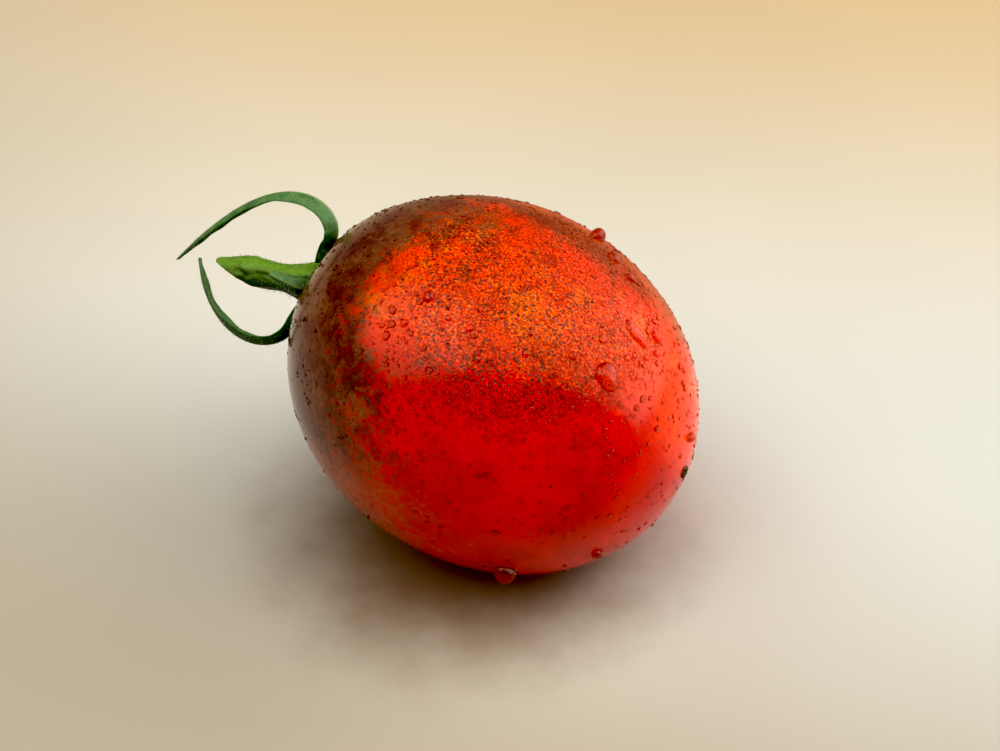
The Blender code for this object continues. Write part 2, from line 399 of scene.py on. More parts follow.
def scar_mesh():
    centre = skin_point(SCAR_TURN, math.pi - SCAR_OFF_AXIS)
    outward = TO_UPRIGHT.to_3x3() @ skin_frame(SCAR_TURN, math.pi - SCAR_OFF_AXIS)[1]
    across = outward.orthogonal().normalized()
    over = outward.cross(across)
    rings = []
    for ring in range(SCAR_RINGS):
        share = 1 - ring / SCAR_RINGS
        rim = math.exp(-(((share - 0.62) / 0.20) ** 2))
        stump = 1.15 * math.exp(-((share / 0.20) ** 2))
        points = []
        for side in range(SCAR_SIDES):
            around = 2 * math.pi * side / SCAR_SIDES
            spread = SCAR_RADIUS * (1 + 0.10 * math.sin(5 * around) + 0.06 * math.sin(9 * around + 1))
            flat = (across * math.cos(around) + over * math.sin(around)) * spread * share
            crumbs = noise.noise((centre + flat) / CRUMB_SPACING) * (1 - share**6)
            lift = SCAR_HEIGHT * (rim + stump + 0.30 * crumbs) - 0.06 * MM * share**4
            points.append(centre + flat + outward * lift)
        rings.append(points)
    tips = centre - outward * SCAR_ROOT, centre + outward * SCAR_HEIGHT
    return loft("blossom_scar", rings, tips)


def cork_material():
    material, tree, shader = new_material("scar_cork")
    mm = upright_place(tree)
    crust = speckle(tree, mm, 7.0, 5.0, 0.7)
    pits = put(tree, "TexVoronoi", {"Vector": mm, "Scale": 11.0}).outputs["Distance"]
    colour = blend_colour(tree, ramp(tree, crust, 0.35, 0.65), CORK_DARK, CORK_BROWN)
    colour = blend_colour(tree, ramp(tree, pits, 0.0, 0.30, 0.7, 0.0), colour, CORK_DARK)
    rough = {"Height": sums(tree, "ADD", crust, pits), "Strength": 0.7, "Distance": 0.04 * MM}
    dry = {"Base Color": colour, "Roughness": ramp(tree, crust, 0.3, 0.7, 0.65, 0.95)}
    dry["Normal"] = put(tree, "Bump", rough).outputs[0]
    plug(tree, shader, dry)
    return material


scar = add_piece("blossom_scar", scar_mesh(), cork_material())
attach(scar, "root")


# ---- The stalk --------------------------------------------------------------------------------
# The short green stem that stayed on the fruit: a ribbed, fleshy rod that flares onto the fruit,
# narrows, and swells again at the joint where it snapped off the vine, in a long slanted tear.

STALK_LENGTH = 10.4 * MM
STALK_LEAN = math.radians(161.4)
STALK_TILT_AT_ROOT = math.radians(13.5)
STALK_TILT_AT_TIP = math.radians(28.0)
STALK_ROOT_RADIUS = 2.0 * MM
STALK_WAIST_RADIUS = 1.2 * MM
FLARE_LENGTH = 2.1 * MM
KNUCKLE_RADIUS = 1.5 * MM
KNUCKLE_FROM_ROOT = 6.8 * MM
KNUCKLE_SPREAD = 1.7 * MM
BREAK_ANGLE = math.radians(29.0)
STALK_OFF_SKIN = 0.3 * MM
STALK_STEP = 0.05 * MM
TEAR_DISH = 0.32
FIBRE_SPACING = 0.22 * MM
FINE_FIBRE_SPACING = 0.09 * MM
STALK_RINGS = 120
STALK_SIDES = 72
TEAR_RINGS = 20

STALK_BRIGHT = (0.155, 0.310, 0.028, 1)
STALK_DARK_AND_SHADE = (0.020, 0.046, 0.006, 1)
TEAR_PALE = (0.080, 0.085, 0.025, 1)
TEAR_DARK = (0.018, 0.020, 0.006, 1)


def skin_height(turn, out):
    """How high the skin stands on the stalk's half of the upright fruit, that far from its axis."""
    low, high = 0.0, math.pi / 2
    for _ in range(24):
        middle = (low + high) / 2
        if FRUIT_WIDTH / 2 * math.sin(middle) < out:
            low = middle
        else:
            high = middle
    return skin_point(turn, low).z


def stalk_radius(along):
    flare = (STALK_ROOT_RADIUS - STALK_WAIST_RADIUS) * math.exp(-((along / FLARE_LENGTH) ** 2))
    knuckle = math.exp(-(((along - KNUCKLE_FROM_ROOT) / KNUCKLE_SPREAD) ** 2))
    return STALK_WAIST_RADIUS + flare + (KNUCKLE_RADIUS - STALK_WAIST_RADIUS) * knuckle


def stalk_path():
    """(middle, heading) at every STALK_STEP from the stalk's root to a little past its tip."""
    sunk = STALK_ROOT_RADIUS * math.sin(STALK_TILT_AT_ROOT)
    root = skin_height(STALK_LEAN, STALK_ROOT_RADIUS) + STALK_OFF_SKIN + sunk
    middle = Vector((0, 0, root))
    path = []
    for step in range(round(1.1 * STALK_LENGTH / STALK_STEP)):
        share = step * STALK_STEP / STALK_LENGTH
        tilt = STALK_TILT_AT_ROOT + share * (STALK_TILT_AT_TIP - STALK_TILT_AT_ROOT)
        heading = Vector((0, 0, math.cos(tilt))) + sideways(STALK_LEAN) * math.sin(tilt)
        path.append((middle, heading))
        middle = middle + heading * STALK_STEP
    return path


def stalk_mesh():
    path = stalk_path()
    lean = sideways(STALK_LEAN)
    tip, heading = path[round(STALK_LENGTH / STALK_STEP) - 1]
    slant = Matrix.Rotation(math.pi / 2 - BREAK_ANGLE, 3, heading.cross(lean))
    tear_corner = tip - lean * KNUCKLE_RADIUS * 0.8
    tear_normal = slant @ heading

    def surface(along, around):
        """A point of the stalk's side. Ribs run along it, strongest where they leave the fruit."""
        place = min(along / STALK_STEP, len(path) - 1.001)
        step = int(place)
        middle = path[step][0].lerp(path[step + 1][0], place - step)
        ahead = path[step][1]
        side = lean - ahead * lean.dot(ahead)
        out = side.normalized() * math.cos(around) + ahead.cross(side).normalized() * math.sin(around)
        ribs = 0.045 + 0.09 * math.exp(-((along / (1.3 * MM)) ** 2))
        radius = stalk_radius(along) * (1 + ribs * math.cos(5 * around + 0.6))
        point = middle + out * radius
        wrinkle = noise.noise(Vector((out.x * 3, out.y * 3, along / (0.9 * MM))))
        knot = math.exp(-(((along - KNUCKLE_FROM_ROOT) / (0.5 * MM)) ** 2))
        return point + out * (0.06 + 0.10 * knot) * MM * wrinkle

    def torn_at(around):
        """How far up the stalk its side reaches the ragged tear."""
        along = 0.0
        while along < len(path) * STALK_STEP:
            if (surface(along, around) - tear_corner).dot(tear_normal) > 0:
                break
            along += STALK_STEP
        return along + 0.10 * MM * noise.noise(Vector((7 * around, 0.3, 5.1)))

    arounds = [2 * math.pi * side / STALK_SIDES for side in range(STALK_SIDES)]
    ends = [torn_at(around) for around in arounds]
    rings = []
    for ring in range(STALK_RINGS + 1):
        share = ring / STALK_RINGS
        rings.append([surface(end * share, around) for end, around in zip(ends, arounds)])
    edge = rings[-1]
    middle = sum(edge, Vector()) / STALK_SIDES
    for ring in range(1, TEAR_RINGS):
        share = 1 - ring / TEAR_RINGS
        inner = []
        for point in edge:
            flat = middle.lerp(point, share)
            fibres = noise.noise(flat / FIBRE_SPACING) + 0.5 * noise.noise(flat / FINE_FIBRE_SPACING)
            dished = -TEAR_DISH * (1 - share**2) + 0.13 * fibres * (1 - share**5)
            inner.append(flat + tear_normal * dished * MM)
        rings.append(inner)
    mesh = loft("stalk", rings, (path[0][0], middle - tear_normal * TEAR_DISH * MM))
    # Each point notes how far it is inside the tear.
    side_points = (STALK_RINGS + 1) * STALK_SIDES
    torn = [0.0] * side_points + [1.0] * (len(mesh.vertices) - side_points)
    torn[-2] = 0.0
    mesh.attributes.new("torn", "FLOAT", "POINT").data.foreach_set("value", torn)
    return mesh


def note_downward_for_painted_shade(mesh):
    """Notes for each point how much it faces down, for the painted shade on the greens' undersides."""
    under = [0.5 - 0.5 * vertex.normal.z for vertex in mesh.vertices]
    mesh.attributes.new("under", "FLOAT", "POINT").data.foreach_set("value", under)


def noted(tree, name):
    return put(tree, "Attribute", attribute_name=name).outputs["Fac"]


def new_group(name, takes, gives):
    """An empty shader group with these (name, kind) sockets, what it is given, and its end."""
    group = bpy.data.node_groups.new(name, "ShaderNodeTree")
    for way, sockets in (("INPUT", takes), ("OUTPUT", gives)):
        for label, kind in sockets:
            group.interface.new_socket(label, in_out=way, socket_type="NodeSocket" + kind)
    return group, group.nodes.new("NodeGroupInput").outputs, group.nodes.new("NodeGroupOutput")


def green_flesh_group():
    """Green plant flesh: pale cells in a darker net, in clouds, darker where it lies in shade."""
    takes = (("Place", "Vector"), ("Bright", "Color"), ("Dark", "Color"), ("Shade", "Float"))
    gives = (("Colour", "Color"), ("Roughness", "Float"), ("Height", "Float"))
    group, given, made = new_group("green_flesh", takes, gives)
    clouds = speckle(group, given["Place"], 0.9, 4.0, 0.6, 0.3)
    fine = speckle(group, given["Place"], 6.0, 4.0, 0.65)
    cells = put(group, "TexVoronoi", {"Vector": given["Place"], "Scale": 9.0}).outputs["Distance"]
    dull = sums(group, "ADD", given["Shade"], ramp(group, clouds, 0.30, 0.70, 0.35, -0.25))
    net = ramp(group, cells, 0.10, 0.50, -0.12, 0.14)
    dull = sums(group, "ADD", dull, net, clamp=True)
    colour = blend_colour(group, dull, given["Bright"], given["Dark"])
    shade = ramp(group, fine, 0.25, 0.75, 0.80, 1.20)
    flesh = {"Colour": blend_colour(group, 1.0, colour, shade, "MULTIPLY")}
    flesh["Roughness"] = ramp(group, fine, 0.3, 0.7, 0.42, 0.66)
    flesh["Height"] = sums(group, "MULTIPLY_ADD", cells, -0.6, fine)
    plug(group, made, flesh)
    return group


green_flesh = green_flesh_group()


def use_green_flesh(tree, shader, place, bright, dark, shade):
    sockets = {"Place": place, "Bright": bright, "Dark": dark, "Shade": shade}
    flesh = put(tree, "Group", sockets, node_tree=green_flesh).outputs
    relief = {"Height": flesh["Height"], "Strength": 0.55, "Distance": 0.05 * MM}
    fleshy = {"Normal": put(tree, "Bump", relief).outputs[0], "Specular IOR Level": 0.35}
    fleshy |= {"Subsurface Weight": 0.15, "Subsurface Scale": 0.4 * MM}
    fleshy["Subsurface Radius"] = (0.5, 1.0, 0.15)
    plug(tree, shader, fleshy)
    return flesh


def stalk_material():
    material, tree, shader = new_material("stalk_green")
    mm = upright_place(tree)
    drawn_out = put(tree, "VectorMath", {0: mm, 1: (1.0, 1.0, 0.30)}, operation="MULTIPLY").outputs[0]
    # Painted shade: the stalk is painted darker the more it faces down.
    shade = ramp(tree, noted(tree, "under"), 0.05, 0.42, 0.0, 1.0)
    flesh = use_green_flesh(tree, shader, drawn_out, STALK_BRIGHT, STALK_DARK_AND_SHADE, shade)
    fibres = speckle(tree, mm, 4.5, 5.0, 0.7, 0.5)
    tear = blend_colour(tree, ramp(tree, fibres, 0.35, 0.65), TEAR_DARK, TEAR_PALE)
    colour = blend_colour(tree, noted(tree, "torn"), flesh["Colour"], tear)
    roughness = sums(tree, "MULTIPLY_ADD", noted(tree, "torn"), 0.3, flesh["Roughness"])
    plug(tree, shader, {"Base Color": colour, "Roughness": roughness})
    return material


stalk = add_piece("green_stalk", stalk_mesh(), stalk_material())
note_downward_for_painted_shade(stalk.data)
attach(stalk, "root")
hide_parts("stalk")


# ---- The sepals and the calyx -----------------------------------------------------------------
# Five thin green blades stand round the stalk, joined at their roots in a fleshy collar that grips
# its foot. Two have curled right back, one broke off short, and two lie back over the fruit. Each
# blade is thickest along its midrib and wavy at its edges.

SEPAL_THICKNESS = 0.42 * MM
SEPAL_ROOT_OUT = 2.5 * MM
SEPAL_ROOT_WIDTH = 2.2 * MM
SEPAL_OFF_SKIN = 0.63 * MM
TIP_WIDTH = 0.6 * MM
TROUGH = 0.27
EDGE_WAVE = 0.16 * MM
LINE_STEPS = 28
SEPAL_RINGS = 112
SEPAL_SIDES = 30
COLLAR_INSIDE = 1.2 * MM
COLLAR_REACH = 2.35 * MM
COLLAR_LOBE = 1.0 * MM
COLLAR_THICKNESS = 0.30 * MM
COLLAR_HUG = 0.75 * MM
COLLAR_TURNS = 160
COLLAR_SIDES = 18

SEPAL_BRIGHT = (0.112, 0.245, 0.068, 1)
SEPAL_DARK_AND_SHADE = (0.024, 0.068, 0.020, 1)
MIDRIB_PALE = (0.240, 0.350, 0.120, 1)
SEPALS = [
    # stands: degrees from the top of the lying fruit towards its front; turn: how far the blade
    # turns up in degrees, mostly over its first "bend", once it has left the skin that it lies on.
    # The curls of the first and third were fitted by another program, and not set by hand.
    dict(stands=-24.0, length=22.7, width=2.7, lies=1.8, turn=159.0, bend=5.1, twist=14),
    dict(stands=57.0, length=4.0, width=2.2, lies=0.5, turn=80.0, bend=1.5, twist=0),
    dict(stands=138.0, length=15.8, width=2.5, lies=1.4, turn=142.5, bend=7.5, twist=-16),
    dict(stands=212.0, length=17.0, width=2.9, lies=13.5, turn=38.0, bend=4.0, twist=10),
    dict(stands=282.0, length=19.0, width=3.0, lies=14.2, turn=44.0, bend=4.0, twist=-10),
]


def sepal_line(stands, length, lies, turn, bend):
    """(out, up, heading) along a blade's midrib. Heading 0 points up along the fruit's axis."""
    step = length / LINE_STEPS
    out, left_at = SEPAL_ROOT_OUT, 0.0
    up = skin_height(stands, out) + SEPAL_OFF_SKIN
    line = []
    for number in range(LINE_STEPS + 1):
        along = number * step
        if along <= lies:
            rise = skin_height(stands, out + 0.1 * MM) - skin_height(stands, out - 0.1 * MM)
            heading = left_at = math.pi / 2 - math.atan(rise / (0.2 * MM))
            up = skin_height(stands, out) + SEPAL_OFF_SKIN / math.sin(heading)
        else:
            share = 1 - math.exp(-(along - lies) / bend)
            heading = left_at - turn * share / (1 - math.exp(-(length - lies) / bend))
        line.append(Vector((out, up, heading)))
        out += step * math.sin(heading)
        up += step * math.cos(heading)
    return line


def along_line(line, share):
    """The line at a share of its length, smoothly between its points."""
    place = min(share * LINE_STEPS, LINE_STEPS - 0.0001)
    step = int(place)
    t = place - step
    before, here = line[max(step - 1, 0)], line[step]
    there, after = line[step + 1], line[min(step + 2, LINE_STEPS)]
    bend_in = (there - before) * 0.5
    bend_out = (after - here) * 0.5
    smooth = here * (2 * t**3 - 3 * t**2 + 1) + there * (3 * t**2 - 2 * t**3)
    return smooth + bend_in * (t**3 - 2 * t**2 + t) + bend_out * (t**3 - t**2)


def sepal_half_width(share, widest):
    """Half the blade's width: a narrow root, widest before the middle, and a fine point."""
    root = SEPAL_ROOT_WIDTH / 2
    swell = math.sin(math.pi * share**0.7) ** 0.8 if 0 < share < 1 else 0.0
    taper = (1 - share) ** 0.38
    return TIP_WIDTH / 2 + (root - TIP_WIDTH / 2) * (1 - share) + (widest / 2 - root) * swell * taper


def sepal_mesh(name, stands, length, width, lies, turn, bend, twist):
    stands = math.radians(stands)
    line = sepal_line(stands, length * MM, lies * MM, math.radians(turn), bend * MM)
    outward = sideways(stands)
    across = Vector((0, 0, 1)).cross(outward)
    rings, notes = [], []
    for ring in range(SEPAL_RINGS + 1):
        share = ring / SEPAL_RINGS
        out, up, heading = along_line(line, share)
        half = sepal_half_width(share, width * MM)
        face = outward * -math.cos(heading) + Vector((0, 0, math.sin(heading)))
        turned = math.radians(twist) * share**2
        flat = across * math.cos(turned) + face * math.sin(turned)
        proud = face * math.cos(turned) - across * math.sin(turned)
        middle = outward * out + Vector((0, 0, up))
        thick = SEPAL_THICKNESS * (1 - 0.35 * share) * min(1.0, 4 * (1 - share) + 0.35)
        points = []
        for side in range(SEPAL_SIDES):
            around = 2 * math.pi * side / SEPAL_SIDES
            over, lift = math.cos(around), math.sin(around)
            ragged = noise.noise(Vector((share * length * 1.3, round(over), stands)))
            wave = noise.noise(Vector((share * length * 0.55, 4 + round(over), stands)))
            rib = math.exp(-((over / 0.16) ** 2))
            rise = TROUGH * 2 * half * over**2 + EDGE_WAVE * wave * over**2 * min(1.0, 5 * share)
            rise += thick * (lift * 0.42 - rib * (0.30 if lift < 0 else 0.10))
            spread = half * over * (1 + 0.10 * ragged * abs(over))
            points.append(middle + flat * spread + proud * rise)
            notes.append(over)
        rings.append(points)
    ends = [sum(ring, Vector()) / SEPAL_SIDES for ring in (rings[0], rings[-1])]
    mesh = loft(name, rings, ends)
    mesh.attributes.new("over", "FLOAT", "POINT").data.foreach_set("value", notes + [0.0, 0.0])
    return mesh


def collar_mesh():
    rings = []
    for number in range(COLLAR_TURNS):
        turn = 2 * math.pi * number / COLLAR_TURNS
        reach = COLLAR_REACH
        for shape in SEPALS:
            away = math.remainder(turn - math.radians(shape["stands"]), 2 * math.pi)
            reach += COLLAR_LOBE * math.exp(-((away / 0.27) ** 2))
        half = (reach - COLLAR_INSIDE) / 2
        points = []
        for side in range(COLLAR_SIDES):
            around = 2 * math.pi * side / COLLAR_SIDES
            out = COLLAR_INSIDE + half * (1 + math.cos(around))
            inward = (reach - out) / (2 * half)
            hug = COLLAR_HUG * inward**1.6 if math.sin(around) > 0 else 0.1 * MM * inward
            lift = SEPAL_OFF_SKIN + COLLAR_THICKNESS * math.sin(around) * (1 - 0.3 * math.cos(around)) + hug
            lift += 0.05 * MM * noise.noise(Vector((9 * turn, 2 * around, 1.7)))
            points.append(sideways(turn) * out + Vector((0, 0, skin_height(turn, out) + lift)))
        rings.append(points)
    return loft("calyx_collar", rings)


def sepal_material():
    material, tree, shader = new_material("sepal_green")
    mm = upright_place(tree)
    over = sums(tree, "ABSOLUTE", noted(tree, "over"))
    # Painted shade: blades and collar are darker the more they face down, blades also towards edges.
    shade = ramp(tree, noted(tree, "under"), 0.10, 0.65, 0.15, 0.90)
    edge = ramp(tree, over, 0.80, 1.0, 0.0, 0.35)
    shade = sums(tree, "ADD", shade, edge)
    flesh = use_green_flesh(tree, shader, mm, SEPAL_BRIGHT, SEPAL_DARK_AND_SHADE, shade)
    midrib = ramp(tree, over, 0.05, 0.26, 0.55, 0.0)
    colour = blend_colour(tree, midrib, flesh["Colour"], MIDRIB_PALE)
    plug(tree, shader, {"Base Color": colour, "Roughness": flesh["Roughness"]})
    return material


leaf_green = sepal_material()
sepals = []
for number, shape in enumerate(SEPALS, 1):
    blade = add_piece(f"green_sepal_{number}", sepal_mesh(f"green_sepal_{number}", **shape), leaf_green)
    note_downward_for_painted_shade(blade.data)
    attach(blade, "root")
    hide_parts(f"sepal_{number}")
    sepals.append(blade)

collar = add_piece("calyx_collar", collar_mesh(), leaf_green)
note_downward_for_painted_shade(collar.data)
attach(collar, "root")


# ---- The hairs --------------------------------------------------------------------------------
# Short, fine, colourless hairs that grow straight out of the stalk and the sepals, as on every
# green part of the plant. They taper to nothing and lean every way.

HAIR_RADIUS = 0.016 * MM
STALK_HAIRS = 520
STALK_HAIR_LONGEST = 0.50 * MM
HAIRS_ON_A_SEPAL = 260
SEPAL_HAIR_LONGEST = 0.38 * MM
HAIR_PALE = (0.62, 0.66, 0.50, 1)
HAIR_GREEN = (0.30, 0.38, 0.18, 1)


def hair_mesh(name, grown_on, count, longest, seed):
    chance = np.random.default_rng(seed)
    corners, faces = [], []
    for thing in grown_on:
        mesh = thing.data
        mesh.calc_loop_triangles()
        places = np.array([vertex.co for vertex in mesh.vertices])
        first, second, third = places[[list(t.vertices) for t in mesh.loop_triangles]].transpose(1, 0, 2)
        facing = np.cross(second - first, third - first)
        area = np.linalg.norm(facing, axis=1)
        for pick in chance.choice(len(area), count, p=area / area.sum()):
            here, there = sorted(chance.random(2))
            weights = here, there - here, 1 - there
            root = Vector(first[pick] * weights[0] + second[pick] * weights[1] + third[pick] * weights[2])
            out = Vector(facing[pick] / area[pick])
            tip_way = (out + Vector(chance.normal(0, 0.45, 3))).normalized()
            length = longest * chance.uniform(0.35, 1.0)
            bend = root + out * length * 0.5
            tip = bend + tip_way * length * 0.5
            side = out.orthogonal().normalized() * HAIR_RADIUS
            base = len(corners)
            for middle, thin in ((root - out * HAIR_RADIUS, 1.0), (bend, 0.7)):
                for spin in range(3):
                    corner = Matrix.Rotation(spin * 2 * math.pi / 3, 3, out) @ side
                    corners.append(middle + corner * thin)
            corners.append(tip)
            faces.append((base + 2, base + 1, base))
            for spin in range(3):
                after = (spin + 1) % 3
                faces.append((base + spin, base + after, base + 3 + after, base + 3 + spin))
                faces.append((base + 3 + spin, base + 3 + after, base + 6))
    mesh = bpy.data.meshes.new(name)
    mesh.from_pydata(corners, [], faces)
    return mesh


def hair_material():
    material, tree, shader = new_material("plant_hair")
    mm = upright_place(tree)
    tint = speckle(tree, mm, 2.5, 3.0, 0.6)
    colour = blend_colour(tree, ramp(tree, tint, 0.35, 0.65), HAIR_GREEN, HAIR_PALE)
    glassy = {"Base Color": colour, "Roughness": ramp(tree, tint, 0.3, 0.7, 0.30, 0.50)}
    plug(tree, shader, glassy | {"Transmission Weight": 0.25})
    return material


pale_hair = hair_material()
grown = hair_mesh("stalk_hairs", [stalk], STALK_HAIRS, STALK_HAIR_LONGEST, 3)
stalk_hairs = add_piece("stalk_hairs", grown, pale_hair)
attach(stalk_hairs, "root")
grown = hair_mesh("sepal_hairs", sepals, HAIRS_ON_A_SEPAL, SEPAL_HAIR_LONGEST, 4)
sepal_hairs = add_piece("sepal_hairs", grown, pale_hair)
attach(sepal_hairs, "root")


# ---- The water --------------------------------------------------------------------------------
# Rain that stands on the waxy skin: a few large drops that have begun to run, clusters of beads,
# and a mist of the finest ones over the crown. Each is a clear dome that sits a little into the
# skin. It isn't part of the fruit, but it lies on it and goes where it goes.

DROP_SIDES = 48
DROP_RINGS = 12
BEAD_SIDES = 14
BEAD_RINGS = 4
MIST_SIDES = 6
MIST_RINGS = 2
DROP_EDGE_SUNK = 0.015 * MM
DROP_CLOSED_AT = 0.04 * MM
WATER_IOR = 1.33
BEADS = 330
BEAD_SMALLEST = 0.10 * MM
BEAD_LARGEST = 0.36 * MM
MIST = 7600
MIST_SMALLEST = 0.080 * MM
MIST_LARGEST = 0.21 * MM
ANY_WAY = 6.28
DROPS = [
    # turn and angle on the skin in degrees, breadth in mm, height in mm, and the run: how many
    # times as long as broad it is, and which way, in degrees round from the fruit's girth. Most
    # of the turns and angles were worked out by another program, and not set by hand.
    (20, 126, 2.0, 0.62, 1.35, 235),
    (-3, 126.5, 1.05, 0.36, 3.1, 262),
    (-12, 130, 0.95, 0.40, 1.3, 270),
    (-6, 133, 0.55, 0.26, 1.3, 270),
    (1, 131.5, 0.42, 0.2, 1.2, 270),
    (22, 115, 0.75, 0.28, 1.1, 200),
    (19, 117, 0.5, 0.2, 1.1, 200),
    (30, 104.5, 0.7, 0.26, 1.1, 200),
    (29, 75, 1.0, 0.36, 1.2, 225),
    (23, 102.5, 0.5, 0.18, 1.8, 20),
    (40, 73, 0.7, 0.26, 1.1, 200),
    (35, 82.5, 0.45, 0.18, 1.9, 30),
    (32, 89, 0.55, 0.2, 1.4, 10),
    (44, 113, 0.55, 0.26, 1.1, 90),
    (37, 122, 0.5, 0.26, 1.1, 90),
    (50, 97, 0.45, 0.22, 1.1, 90),
    (38, 98, 0.45, 0.22, 1.1, 90),
    (40, 135, 0.4, 0.22, 1.1, 90),
    (-34, 98, 1.5, 0.95, 1.1, 0),
    (-27, 106, 1.1, 0.5, 1.3, 90),
    (-24, 113, 0.9, 0.42, 1.2, 90),
    (-20, 163, 1.1, 0.5, 1.1, 0),
    (118, 147, 1.2, 0.55, 1.1, 0),
    (121, 120.5, 1.9, 1.25, 1.1, 90),
]

WATER_CLEAR = (1.0, 1.0, 1.0, 1)
# Painted shade: the large drops' bodies are tinted darker, and each drop is painted darker at its steep
# rim, where the water bends light aside.
DROP_BODY_SHADE = (0.88, 0.46, 0.22, 1)
DROP_RIM_SHADE = (0.58, 0.12, 0.02, 1)
BEAD_RIM_SHADE = (0.20, 0.05, 0.04, 1)
WATER_SHADE = (0.66, 0.40, 0.36, 1)
MIST_RIM_SHADE = (0.16, 0.05, 0.05, 1)
MIST_SHADE = (0.60, 0.48, 0.45, 1)
WATER_GLEAM = (1.0, 0.66, 0.50, 1)


def on_skin(turn, angle):
    """A function that finds the point that far east and south of a place, and that far off the skin."""

    def spot(east, south, lift):
        there = turn + east / (FRUIT_WIDTH / 2 * math.sin(angle))
        point, normal, _ = skin_frame(there, angle + south / (FRUIT_LENGTH / 2))
        return point + normal * lift

    return spot


def on_tangent(turn, angle):
    """The same for a bead so small that the skin under it is flat."""
    point, normal, _ = skin_frame(turn, angle)
    east = normal.orthogonal().normalized()
    south = normal.cross(east)

    def spot(along, across, lift):
        return point + east * along + south * across + normal * lift

    return spot


def add_dome(corners, faces, spot, outline, height, sides, rings):
    """A drop from its edge, which is sunk a little, to its top, and closed beneath the skin."""
    base = len(corners)
    for ring in range(rings):
        steep = math.pi / 2 * ring / rings
        lift = height * math.sin(steep) if ring else -DROP_EDGE_SUNK
        for side in range(sides):
            around = 2 * math.pi * side / sides
            reach = outline(around) * math.cos(steep)
            corners.append(spot(reach * math.cos(around), reach * math.sin(around), lift))
    corners.append(spot(0, 0, height))
    corners.append(spot(0, 0, -DROP_CLOSED_AT))
    top = base + rings * sides
    for side in range(sides):
        after = (side + 1) % sides
        for ring in range(rings - 1):
            low = base + ring * sides
            faces.append((low + side, low + after, low + sides + after, low + sides + side))
        last = base + (rings - 1) * sides
        faces.append((last + side, last + after, top))
        faces.append((base + after, base + side, top + 1))


def uneven(radius, long, way, chance):
    """The outline of a drop, drawn out one way and a little irregular."""
    first, second = chance.uniform(0, ANY_WAY), chance.uniform(0, ANY_WAY)

    def outline(around):
        ahead = math.cos(around - way)
        drawn = 1 / math.hypot(ahead / long, math.sin(around - way))
        pear = 1 + 0.16 * (long - 1) * ahead
        bumps = 1 + 0.05 * math.cos(2 * around + first) + 0.05 * math.cos(3 * around + second)
        return radius * drawn * pear * bumps

    return outline


def water_mesh(name, corners, faces, sides, rings):
    """The mesh of drops that all have these sides and rings, noting how near its rim each point is."""
    mesh = bpy.data.meshes.new(name)
    mesh.from_pydata(corners, [], faces)
    steep = [math.cos(math.pi / 2 * ring / rings) ** 3 for ring in range(rings) for _ in range(sides)]
    note = steep + [0.0, 1.0]
    rim = mesh.attributes.new("rim", "FLOAT", "POINT").data
    rim.foreach_set("value", note * (len(corners) // len(note)))
    return mesh


def drop_mesh():
    chance = random.Random(11)
    corners, faces = [], []
    for turn, angle, breadth, height, long, way in DROPS:
        spot = on_skin(math.radians(turn), math.radians(angle))
        outline = uneven(breadth / 2 * MM, long, math.radians(way), chance)
        add_dome(corners, faces, spot, outline, height * MM, DROP_SIDES, DROP_RINGS)
    return water_mesh("large_drops", corners, faces, DROP_SIDES, DROP_RINGS)


# The room that water has taken on the skin so far, as (point, radius).
taken = []
for turn, angle, breadth, _, long, _ in DROPS:
    lying = UPRIGHT @ skin_point(math.radians(turn), math.radians(angle))
    taken.append((lying, breadth * long**0.5 / 2 * MM))


def scatter(chance, count, smallest, largest, wanted):
    """Places (turn, angle, radius) clear of the drops laid before, thickest where wanted says."""
    places = np.array([list(point) for point, _ in taken] + [[0.0] * 3] * count)
    radii = np.array([radius for _, radius in taken] + [0.0] * count)
    laid = len(taken)
    found = []
    while len(found) < count:
        turn = chance.uniform(-math.pi, math.pi)
        angle = math.acos(1 - 2 * chance.random())
        point = skin_point(turn, angle)
        if chance.random() > wanted(turn, angle, point):
            continue
        radius = smallest + (largest - smallest) * chance.random() ** 3
        lying = UPRIGHT @ point
        apart = np.linalg.norm(places[:laid] - np.array(lying), axis=1)
        if (apart < (radii[:laid] + radius) * 0.9).any():
            continue
        places[laid], radii[laid] = lying, radius
        laid += 1
        taken.append((lying, radius))
        found.append((turn, angle, radius))
    return found


def near(turn, angle, at_turn, at_angle, wide, tall):
    away = math.remainder(turn - math.radians(at_turn), 2 * math.pi) / math.radians(wide)
    below = (angle - math.radians(at_angle)) / math.radians(tall)
    return math.exp(-(away**2) - below**2)


def beads_wanted(turn, angle, point):
    if point.x < 0.1 * FRUIT_WIDTH:
        return 0.003
    clusters = near(turn, angle, 37, 78, 12, 13) + 0.9 * near(turn, angle, 8, 136, 24, 12)
    return min(1.0, 0.02 + clusters + 0.04 * near(turn, angle, 45, 108, 18, 25))


def mist_wanted(turn, angle, point):
    way = point.normalized()
    high = way.dot(Vector((0.97, -0.12, -0.20)))
    crown = min(1.0, max(0.0, (high - 0.76) / 0.20))
    patchy = min(1.0, max(0.08, 0.55 + 1.7 * noise.noise(point / (3.2 * MM))))
    front = 0.04 * near(turn, angle, 44, 104, 14, 26)
    return crown * patchy + front + (0.004 if way.x > 0 else 0.001)


def small_water(name, places, low, sides, rings, chance):
    corners, faces = [], []
    for turn, angle, radius in places:
        outline = uneven(radius, chance.uniform(1.0, 1.35), chance.uniform(0, ANY_WAY), chance)
        spot = on_tangent(turn, angle)
        add_dome(corners, faces, spot, outline, radius * chance.uniform(low, low + 0.25), sides, rings)
    return water_mesh(name, corners, faces, sides, rings)


